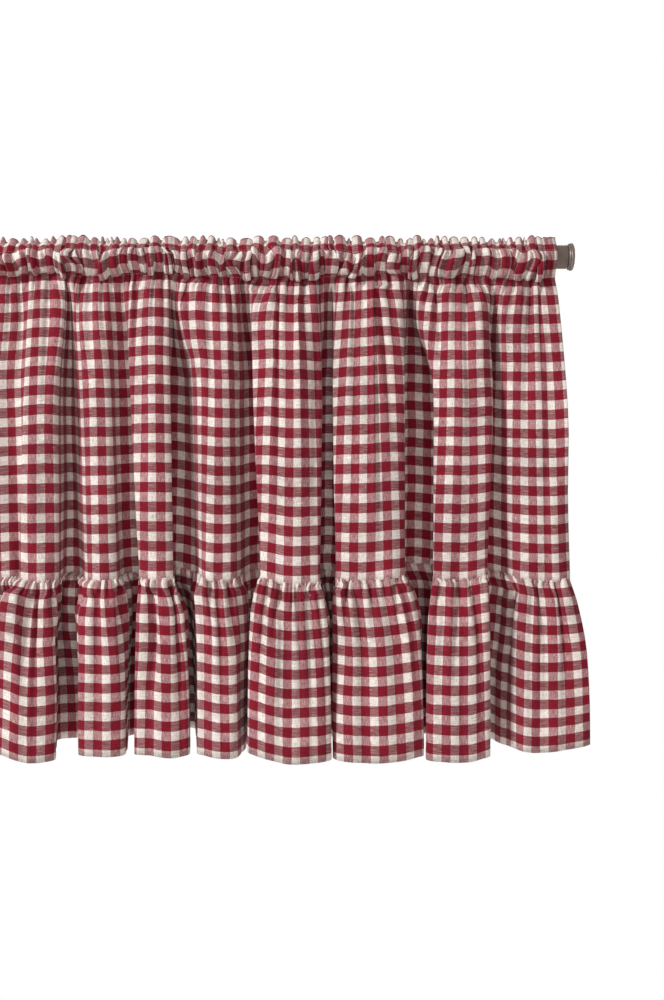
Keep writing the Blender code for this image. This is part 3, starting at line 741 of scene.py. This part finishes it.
def check_group():
    """The woven check: colour and height over the cloth's own UV map, which counts in stripes.

    Columns and rows are red where the whole part of u or of v is even. Each yarn has its own
    shade and thins and thickens along its length, and where the two colours cross, flecks of the
    yarn underneath show.
    """
    group, given, result = node_group(
        "woven_check",
        [("Cream", "NodeSocketColor", (*CREAM, 1)), ("Pink", "NodeSocketColor", (*PINK, 1)),
         ("Mauve", "NodeSocketColor", (*MAUVE, 1)), ("Red", "NodeSocketColor", (*RED, 1)),
         ("Row", "NodeSocketFloat", 0.0)],
        [("Color", "NodeSocketColor"), ("Height", "NodeSocketFloat")],
    )
    place = joined(group, "ShaderNodeUVMap", uv_map="cloth").outputs[0]
    sway = joined(group, "ShaderNodeTexNoise", [("Scale", 1.3), ("Detail", 2.0)], [("Vector", place)])
    apart = joined(group, "ShaderNodeSeparateXYZ", links=[("Vector", place)])
    swayed = joined(group, "ShaderNodeSeparateXYZ", links=[("Vector", sway.outputs["Color"])])

    def swung(axis):
        offset = math_node(group, "MULTIPLY", math_node(group, "SUBTRACT", swayed.outputs[axis], 0.5), 0.12)
        return math_node(group, "ADD", apart.outputs[axis], offset)

    u = swung("X")
    v = math_node(group, "ADD", swung("Y"), given.outputs["Row"])

    def banded(along):
        wave = math_node(group, "SINE", math_node(group, "MULTIPLY", along, math.pi))
        return math_node(group, "ADD", math_node(group, "MULTIPLY", wave, 7.0), 1.1)

    def clipped(value):
        return joined(group, "ShaderNodeClamp", links=[("Value", value)]).outputs[0]

    def grain(scale, detail=2.0):
        stretched = joined(group, "ShaderNodeMapping", [("Scale", scale)], [("Vector", place)])
        noise = joined(
            group, "ShaderNodeTexNoise", [("Scale", 1.0), ("Detail", detail)],
            [("Vector", stretched.outputs[0])],
        )
        return math_node(group, "SUBTRACT", noise.outputs["Fac"], 0.5)

    warp, weft = grain((15.0, 1.6, 1.0)), grain((0.8, 15.0, 1.0))
    flecks, clouds = grain((15.0, 15.0, 1.0), 2.0), grain((0.12, 0.12, 1.0), 3.0)
    column_red, row_red = clipped(banded(u)), clipped(banded(v))
    streaked = math_node(group, "ADD", flecks, math_node(group, "MULTIPLY", warp, 0.7))
    fleck = math_node(group, "MULTIPLY", streaked, 1.5)
    blotch = math_node(group, "MULTIPLY", math_node(group, "ADD", flecks, weft), 0.9)

    cream = given.outputs["Cream"]
    pink_part, mauve_part = (
        clipped(math_node(group, "ADD", least, more)) for least, more in ((0.10, fleck), (0.06, blotch))
    )
    pink = colour_mix(group, pink_part, given.outputs["Pink"], cream)
    mauve = colour_mix(group, mauve_part, given.outputs["Mauve"], cream)
    cream_row = colour_mix(group, column_red, cream, pink)
    red_row = colour_mix(group, column_red, mauve, given.outputs["Red"])
    colour = colour_mix(group, row_red, cream_row, red_row)
    tone = math_node(
        group, "ADD", 1.0,
        math_node(
            group, "ADD", math_node(group, "MULTIPLY", math_node(group, "ADD", warp, weft), 1.1),
            math_node(group, "MULTIPLY", clouds, 0.6),
        ),
    )
    shaded = joined(group, "ShaderNodeVectorMath", links=[(0, colour), ("Scale", tone)], operation="SCALE")
    group.links.new(shaded.outputs[0], result.inputs["Color"])

    def yarn(along, across_yarn):
        wave = math_node(group, "SINE", math_node(group, "MULTIPLY", along, math.pi * YARNS))
        other = math_node(group, "SINE", math_node(group, "MULTIPLY", across_yarn, math.pi * YARNS))
        return math_node(group, "MULTIPLY", wave, other)

    weave = yarn(apart.outputs["X"], apart.outputs["Y"])
    woven = math_node(group, "MULTIPLY", weave, 0.4)
    height = math_node(group, "ADD", woven, math_node(group, "ADD", warp, weft))
    group.links.new(height, result.inputs["Height"])
    return group


WOVEN_CHECK = check_group()


def check_cloth(name, row):
    """Matt cotton in the woven check, with row added to the stripes counted up the cloth."""
    material = bpy.data.materials.new(name)
    material.use_nodes = True
    tree = material.node_tree
    shader = tree.nodes["Principled BSDF"]
    woven = joined(tree, "ShaderNodeGroup", node_tree=WOVEN_CHECK)
    woven.inputs["Row"].default_value = row
    bumped(tree, shader, woven.outputs["Height"], 0.35, 0.25 * MM)
    tree.links.new(woven.outputs["Color"], shader.inputs["Base Color"])
    shader.inputs["Roughness"].default_value = 0.92
    shader.inputs["Sheen Weight"].default_value = 0.1
    shader.inputs["Sheen Roughness"].default_value = 0.5
    shader.inputs["Specular IOR Level"].default_value = 0.25
    return material


# The stitching runs STITCH_ROW below the top of a red row, which v counts as place 0 to -1.
panel_cloth = check_cloth("check_panel", 1 - STITCH_ROW / ROW)
panel = sheet_piece("panel_cloth", panel_points, panel_uv, panel_cloth)
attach(panel, "root")
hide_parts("panel")


# ---------------------------------------------------------------------------------------------
# The panel's stitching. Cotton thread a little paler than the cream yarn, sewn by machine through
# both layers in two lines: one closes the pocket below the rod, one parts it from the header.

STITCH_WIDTH, STITCH_HEIGHT = 0.5 * MM, 0.3 * MM  # across, and out from its middle
STITCH_LIFT = 0.25 * MM  # of its middle above the middle of the cloth
THREAD_SHADES = ((0.560, 0.480, 0.425), (0.840, 0.790, 0.730))


def stitches(row):
    """(points, triangles) of a line of stitches along one row of the panel's points.

    Each stitch is a slim eight-sided bead from one thread of the grid to the next, and every other
    step is left free. Its width lies along the cloth, and its height stands out from the cloth.
    """
    start, end = panel_points[row, :-1:2], panel_points[row, 1::2]
    onward = panel_points[row + 1, 1::2] - end
    outwards = np.cross(onward, end - start)
    outwards /= np.linalg.norm(outwards, axis=1)[:, None]
    aside = np.cross(end - start, outwards)
    aside /= np.linalg.norm(aside, axis=1)[:, None]
    raised = outwards * STITCH_LIFT
    middle = (start + end) / 2 + raised
    half, out = aside * STITCH_WIDTH / 2, outwards * STITCH_HEIGHT
    ring = [half, out, -half, -out]
    beads = np.stack([start + raised, end + raised, *(middle + step for step in ring)], axis=1)
    one = [(0, 2 + k, 2 + (k + 1) % 4) for k in range(4)] + [(1, 2 + (k + 1) % 4, 2 + k) for k in range(4)]
    faces = np.array(one)[None] + 6 * np.arange(len(beads))[:, None, None]
    return beads.reshape(-1, 3), faces.reshape(-1, 3)


def cotton_thread():
    """Soft cotton thread, its twist a fine wave along each stitch."""
    material = bpy.data.materials.new("cotton_thread")
    material.use_nodes = True
    tree = material.node_tree
    shader = tree.nodes["Principled BSDF"]
    place = joined(tree, "ShaderNodeTexCoord").outputs["Object"]
    clouds = joined(tree, "ShaderNodeTexNoise", [("Scale", 900.0), ("Detail", 2.0)], [("Vector", place)])
    twist = joined(tree, "ShaderNodeTexWave", [("Scale", 700.0), ("Distortion", 1.5)], [("Vector", place)])
    tint = colour_mix(tree, clouds.outputs["Fac"], *THREAD_SHADES)
    bumped(tree, shader, twist.outputs["Fac"], 0.4, 0.1 * MM)
    tree.links.new(tint, shader.inputs["Base Color"])
    shader.inputs["Roughness"].default_value = 0.7
    shader.inputs["Sheen Weight"].default_value = 0.15
    return material


last_front = len(back) + len(front)  # the row of the stitching in front; the back's is row 0
header_line = [row[2] for row in POCKET_SECTION].index(PINCH)
stitched_rows = (0, BACK_ROWS.index(header_line), last_front - header_line, last_front)
stitch_lines = [stitches(row) for row in stitched_rows]
starts = np.cumsum([0] + [len(points) for points, _ in stitch_lines[:-1]])
stitching = mesh_piece(
    "panel_stitching", np.concatenate([points for points, _ in stitch_lines]),
    np.concatenate([faces + start for (_, faces), start in zip(stitch_lines, starts)]), cotton_thread(),
)
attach(stitching, "root")


# ---------------------------------------------------------------------------------------------
# The ruffle. A strip of the same cloth, more than half as long again as the panel is wide, drawn
# up along its top and sewn to the panel's lower edge, with its own lower edge turned up.

RUFFLE_DROP = 180 * MM  # from the seam to the hem, along the cloth
RUFFLE_STRAND = 1.15 * MM
SEAM_EVENING = 7 * MM  # the pleats keep to the seam when averaged over about this much cloth
TUCK = 2.2 * MM  # of the ruffle's top that lies up behind the panel
TUCK_BACK = 0.7 * MM  # of that top, behind the seam
PLEAT_RISE = 1.4 * MM  # how far the crown of a pleat stands above the seam
TUCK_FLATNESS = 0.3  # share of the pleats' depth that is left behind the panel
SEAM_PLEATS = 0.8  # and at the seam itself
HEM_SECTION = ((0.9, 0.3), (1.3, 5.0), (0.9, 10.5))  # the hem turned up: millimetres back and up
SEAM_ROW = 1.775  # where the seam falls in the check: in stripes up from the top of a red row

# The same folds as the panel's: check on the ruffle's own flat cloth, x at the seam, then at the hem
# the fold's edges and that thread, front, and lift: how much higher the hem hangs there.
RUFFLE_COLUMNS = ("check", "x_seam", "left", "x", "right", "front", "lift", "turn_left", "turn_right")
RUFFLE_FOLDS = (
    (-105, -388, -424, -406, -392, -8, 5, 40, 97),
    (-86, -342, -386, -362, -339, -20, -1, 98, 98),
    (-65, -286, -334, -307, -282, -16, 3, 98, 99),
    (-44, -226, -276, -250, -224, -20, 0, 99, 98),
    (-21, -176, -219, -196, -176, -14, 2, 98, 98),
    (-8, -129, -171, -137, -111, -20, -1, 99, 99),
    (13, -66, -88, -63, -41, -18, 5, 98, 98),
    (34, -9, -31, -3, 23, -18, 2, 99, 99),
    (56, 48, 33, 55.5, 72, -18, 3, 80, 80),
    (79, 127, 82.5, 126.5, 165, -26, 2, 99, 99),
    (104, 201, 168.5, 214, 258, -24, -2, 99, 99),
    (130, 294, 261.5, 293, 324, -24, -2, 99, 99),
    (149, 373, 358, 375, 408, -14, 6, 55, 40),
)
RUFFLE_EDGES = (  # the side hems: check, then x at the seam and the hem, and lift
    (-110.5, -408, -427, 9),
    (155.0, 407, 425, 14),
)
# How gathers and pleats come and go down the ruffle, as (millimetres down, share).
GATHER_FADE = ((0, 0.15), (8, 0.5), (18, 1.0), (40, 0.9), (80, 0.62), (130, 0.36), (182, 0.2))
PLEAT_DEPTH = ((0, 1.3), (4, 1.7), (12, 1.5), (30, 1.0), (178, 1.0))  # times what the cloth alone gives
DEEPEST = 2.5 * MM  # most that PLEAT_DEPTH adds
SMOCKING_FADE = ((0, 1.0), (4, 1.0), (10, 0.7), (17, 0.35), (30, 0.1), (178, 0.0))
GATHER, SMOCK = 14 * MM, 5.0 * MM  # of the panel's edge to each gather and to each pleat in it
GATHER_SHARE, SMOCKING_SHARE = 0.6, 1.1  # of the gathering that each takes up where it is strongest
GATHER_PART = 0.8  # the gathers' strength as a share of the whole gathering's
RUFFLE_SPREAD = ((0, 0.0), (30, 0.4), (80, 0.8), (178, 1.0))
RUFFLE_FAN = ((0, 0.0), (18, 0.42), (40, 0.76), (100, 0.92), (178, 1.0))
RUFFLE_RIPPLE_LENGTH, RUFFLE_RIPPLE_LEVELS = 8 * MM, (0, 60, 120, 182)
LIFT_EVENING, LIFT_GROWTH = 12 * MM, 1.3  # the second is the power of the drop that the lift follows
RISE_FADE = (1.0, 0.8, 0.4)  # the first rows' share of PLEAT_RISE
RUFFLE_ROWS = (0, 1.5, 4, 7.5, 12, 17, 23, 30, 39, 50, 63, 78, 96, 115, 135, 154, 170, 180)

# Single creases in the ruffle, as in the panel: they fan out below the seam.
RUFFLE_CREASES = (
    (115, 108, 0, 75, 3.8, 6.8), (131, 134, 2, 60, 3.4, 6.1), (145, 152, 0, 90, 4.2, 6.8),
    (122, 121, 30, 150, 6.0, 5.4),
    (184, 178, 0, 110, 4.2, 7.4), (205, 208, 3, 60, 3.4, 5.4), (228, 240, 0, 130, 4.7, 7.4),
    (292, 288, 0, 120, 4.2, 7.4), (305, 312, 0, 80, 3.8, 6.8), (275, 268, 2, 55, 3.4, 5.4),
    (352, 350, 0, 90, 4.2, 6.1), (371, 378, 3, 70, 3.8, 6.1), (392, 405, 0, 120, 4.7, 6.8),
    (46, 44, 0, 100, 4.2, 6.8), (62, 68, 2, 70, 3.4, 6.1), (74, 78, 0, 130, 4.2, 5.4),
    (-10, -12, 0, 110, 4.2, 7.4), (-24, -30, 2, 60, 3.4, 6.1), (6, 16, 0, 120, 4.2, 6.8),
    (-66, -64, 0, 90, 4.2, 6.8), (-50, -44, 0, 120, 3.8, 6.8), (-82, -88, 0, 60, 3.4, 5.4),
    (-128, -132, 0, 100, 4.2, 6.8), (-115, -108, 2, 80, 3.8, 6.1), (-139, -143, 0, 100, 4.2, 5.4),
    (-178, -190, 0, 110, 4.2, 6.8), (-226, -240, 0, 120, 4.2, 7.4), (-285, -300, 0, 100, 4.2, 6.8),
    (-340, -355, 0, 110, 4.2, 6.8), (-380, -395, 0, 90, 4.2, 6.1),
)

ruffle_marks = column(RUFFLE_FOLDS, RUFFLE_COLUMNS, "check", CHECK)
ruffle_flat, ruffle_pins = across(
    ruffle_marks, np.array([row[0] for row in RUFFLE_EDGES]) * CHECK, RUFFLE_STRAND
)
ruffle_reach = np.diff(panel_pins) / np.diff(ruffle_pins)


def ruffle_value(name, unit=MM):
    """One named column of the ruffle's folds, in its own unit."""
    return column(RUFFLE_FOLDS, RUFFLE_COLUMNS, name, unit)


def from_seam(top, low, pace):
    """A value that goes from its place at the seam to its place at the hem, at the pace of a table."""
    share = share_down(pace)
    return lambda drop: top + (low - top) * share(drop)


panel_hem = {
    name: column(PANEL_FOLDS, PANEL_COLUMNS, name, MM) for name in ("left_low", "right_low", "front")
}
ruffle_left = from_seam(panel_hem["left_low"], ruffle_value("left"), RUFFLE_FAN)
ruffle_right = from_seam(panel_hem["right_low"], ruffle_value("right"), RUFFLE_FAN)
ruffle_thread = from_seam(ruffle_value("x_seam"), ruffle_value("x"), RUFFLE_SPREAD)
ruffle_front = from_seam(panel_hem["front"], ruffle_value("front"), RUFFLE_FAN)
ruffle_edge_x = from_seam(*(np.array(RUFFLE_EDGES)[:, 1:3].T * MM), RUFFLE_SPREAD)
ruffle_turns = [ruffle_value(name, math.pi / 180) for name in ("turn_left", "turn_right")]
gather_fade, smocking_fade = share_down(GATHER_FADE), share_down(SMOCKING_FADE)


def ruffle_level(drop):
    """(angles, flat places of the knots, their places along the rod) of the ruffle at one level."""
    drawn = min(math.hypot(GATHER_PART * gather_fade(drop), smocking_fade(drop)), 1)
    gathers = pucker_reach(pucker_strength(ruffle_reach[1:-1]) * drawn)
    angles, brinks = fold_angles(
        ruffle_flat, ruffle_marks, ruffle_left(drop), ruffle_thread(drop), ruffle_right(drop),
        ruffle_front(drop), *ruffle_turns, gathers, 1,
    )
    low, high = ruffle_edge_x(drop)
    return angles, *knotted(ruffle_pins, np.concatenate([[low], ruffle_thread(drop), [high]]), brinks)


# Where the knots of the seam lie on the ruffle's flat cloth and on the panel's, which has two more.
ruffle_knots = ruffle_level(0)[1]
panel_knots = np.delete(panel_level(PANEL_DROP)[1], [1, -2])
beside = np.interp(ruffle_flat, ruffle_knots, panel_knots)
seam_x, seam_y, seam_z = (np.interp(beside, panel_flat, row[-1]) for row in (panel_x, panel_y, panel_z))
sewn_cloth = (ruffle_flat, ruffle_knots, panel_knots)
gather_strength, gather_turns = gathered(*sewn_cloth, GATHER, GATHER_SHARE, SEED + 1)
pleat_strength, pleat_turns = gathered(*sewn_cloth, SMOCK, SMOCKING_SHARE, SEED + 51)
ruffle_pucker = gather_strength * pucker_wave(gather_turns)
ruffle_crimp = pleat_strength * pucker_wave(pleat_turns)
ruffle_ripples = ripples(ruffle_flat, RUFFLE_RIPPLE_LENGTH, RUFFLE_RIPPLE_LEVELS, SEED + 30)


def ruffle_row(drop, gathers, pleats, creases):
    """(x, y) of the ruffle at one level, for the given shares of its gathers and its pleats."""
    angles, places, along = ruffle_level(drop)
    angles = angles + gathers * ruffle_pucker + pleats * ruffle_crimp
    angles += crease_angles(ruffle_flat, drop, places, along, creases)
    face = ruffle_front(drop)
    pin_y = np.concatenate([face[:1], face, face[-1:]])
    x, y = laid_row(ruffle_flat, angles, ruffle_pins, np.interp(ruffle_pins, places, along), pin_y)
    return eased_to_knots(ruffle_flat, x, places, along, 1), y


def ruffle_rows(rows):
    """(x, y) of the ruffle below the seam, one row for each drop in rows.

    As on the panel, with the folds of the panel's last row spreading to the hem's. Where the two are
    sewn the row follows the seam's own line when its pleats are averaged, and the pleats are deeper.
    """
    pleated = [ruffle_row(drop, gather_fade(drop), smocking_fade(drop), RUFFLE_CREASES) for drop in rows]
    smooth = [ruffle_row(drop, 0, 0, ()) for drop in rows]
    x, y = np.array(pleated).transpose(1, 0, 2)
    smooth_y = np.array(smooth)[:, 1]
    sewn_x, sewn_y = (
        bare + softened(row[0] - bare, SEAM_EVENING / RUFFLE_STRAND)
        for row, bare in zip((x, y), smooth[0])
    )
    deeper = share_down(PLEAT_DEPTH)(rows)[:, None] - 1
    spread = share_down(RUFFLE_SPREAD)(rows)[:, None]
    x += (1 - spread) * (seam_x - sewn_x)
    y += (1 - spread) * (seam_y - sewn_y) + DEEPEST * np.tanh(deeper * (y - smooth_y) / DEEPEST)
    return x, y + RIPPLE * spread * ruffle_ripples(rows)


ruffle_drops = np.array(RUFFLE_ROWS) * MM
ruffle_x, ruffle_y = ruffle_rows(ruffle_drops)
ruffle_z = hung(ruffle_x, ruffle_y, seam_z, ruffle_drops)
lift = np.concatenate([RUFFLE_EDGES[0][3:], ruffle_value("lift", 1), RUFFLE_EDGES[1][3:]]) * MM
lift = softened(np.interp(ruffle_flat, ruffle_pins, lift), LIFT_EVENING / RUFFLE_STRAND)
ruffle_z += np.multiply.outer((ruffle_drops / RUFFLE_DROP) ** LIFT_GROWTH, lift)
ruffle_points = np.stack([ruffle_x, ruffle_y, ruffle_z], axis=-1)
pleats = ruffle_y[0] - seam_y
ruffle_points[:len(RISE_FADE), :, 2] += np.outer(RISE_FADE, PLEAT_RISE * crowned(pleat_turns))
ruffle_points[0, :, 1] = seam_y + SEAM_PLEATS * pleats
tucked = ruffle_points[:1] + np.array([0, 0, TUCK])
tucked[0, :, 1] = seam_y + TUCK_BACK + TUCK_FLATNESS * (pleats - pleats.min())
turned_up = [ruffle_points[-1:] + np.array([0, inwards, up]) * MM for inwards, up in HEM_SECTION]
ruffle_points = np.concatenate([tucked, ruffle_points, *turned_up])
hem_v = [-ruffle_drops[-1] - up * MM for _, up in HEM_SECTION]
ruffle_v = np.concatenate([[TUCK], -ruffle_drops, hem_v]) / ROW
ruffle_uv = np.stack(np.broadcast_arrays(ruffle_flat[None, :] / CHECK, ruffle_v[:, None]), axis=-1)
ruffle_cloth = check_cloth("check_ruffle", SEAM_ROW)
ruffle = sheet_piece("ruffle_cloth", ruffle_points, ruffle_uv, ruffle_cloth)
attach(ruffle, "root")
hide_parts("ruffle")


# ---------------------------------------------------------------------------------------------
# The room: a white floor well below the hem, soft light from all round, and one large soft box in
# front of and above the valance. None of it is part of the object.

FLOOR = -1.3  # height
FLOOR_REACH = 1.2  # from its middle to each edge
SKY_LIGHT = (0.410, 0.345, 0.325)  # a little warm
BACKDROP = (1.0, 1.0, 1.0)  # what the camera sees of it
CAMERA_PLACE = (0.1665, -1.265, -0.246)
SENSOR, LENS = 36, 45  # millimetres
floor_material = bpy.data.materials.new("white_floor")
floor_material.use_nodes = True
floor_shader = floor_material.node_tree.nodes["Principled BSDF"]
floor_shader.inputs["Base Color"].default_value = (0.9, 0.9, 0.9, 1)
floor_shader.inputs["Roughness"].default_value = 0.9
floor_points = np.array([(-1, -1, 0), (1, -1, 0), (1, 1, 0), (-1, 1, 0)]) * FLOOR_REACH
floor_points[:, 2] = FLOOR
floor = mesh_piece("floor", floor_points, np.array([[0, 1, 2, 3]]), floor_material, smooth=False)

world = bpy.data.worlds.new("studio")
bpy.context.scene.world = world
world.use_nodes = True
sky = world.node_tree.nodes["Background"]
seen = joined(world.node_tree, "ShaderNodeLightPath")
glow = colour_mix(world.node_tree, seen.outputs["Is Camera Ray"], SKY_LIGHT, BACKDROP)
world.node_tree.links.new(glow, sky.inputs["Color"])


def soft_box(name, place, aim, size, power):
    """A square area light at place that faces aim, of that size in metres and power in watts."""
    data = bpy.data.lights.new(name, "AREA")
    data.size = size
    data.energy = power
    lamp = bpy.data.objects.new(name, data)
    bpy.context.scene.collection.objects.link(lamp)
    lamp.location = place
    direction = np.array(aim, float) - np.array(place, float)
    tilt = math.acos(-direction[2] / np.linalg.norm(direction))
    lamp.rotation_euler = (tilt, 0, math.atan2(direction[1], direction[0]) - math.pi / 2)


soft_box("key", (-2.1, -1.7, 1.05), (0.1, 0, -0.25), 0.6, 69)
soft_box("back", (0.9, 2.4, 0.7), (0.0, 0, -0.25), 1.6, 34)
soft_box("fill", (0.3, -2.6, -0.3), (0.1, 0, -0.25), 1.0, 7.5)

camera = bpy.data.objects.new("camera", bpy.data.cameras.new("camera"))
bpy.context.scene.collection.objects.link(camera)
camera.location = CAMERA_PLACE
camera.rotation_euler = (math.pi / 2, 0, 0)
camera.data.sensor_width = SENSOR
camera.data.lens = LENS
bpy.context.scene.camera = camera
bpy.context.scene.view_settings.view_transform = "Standard"
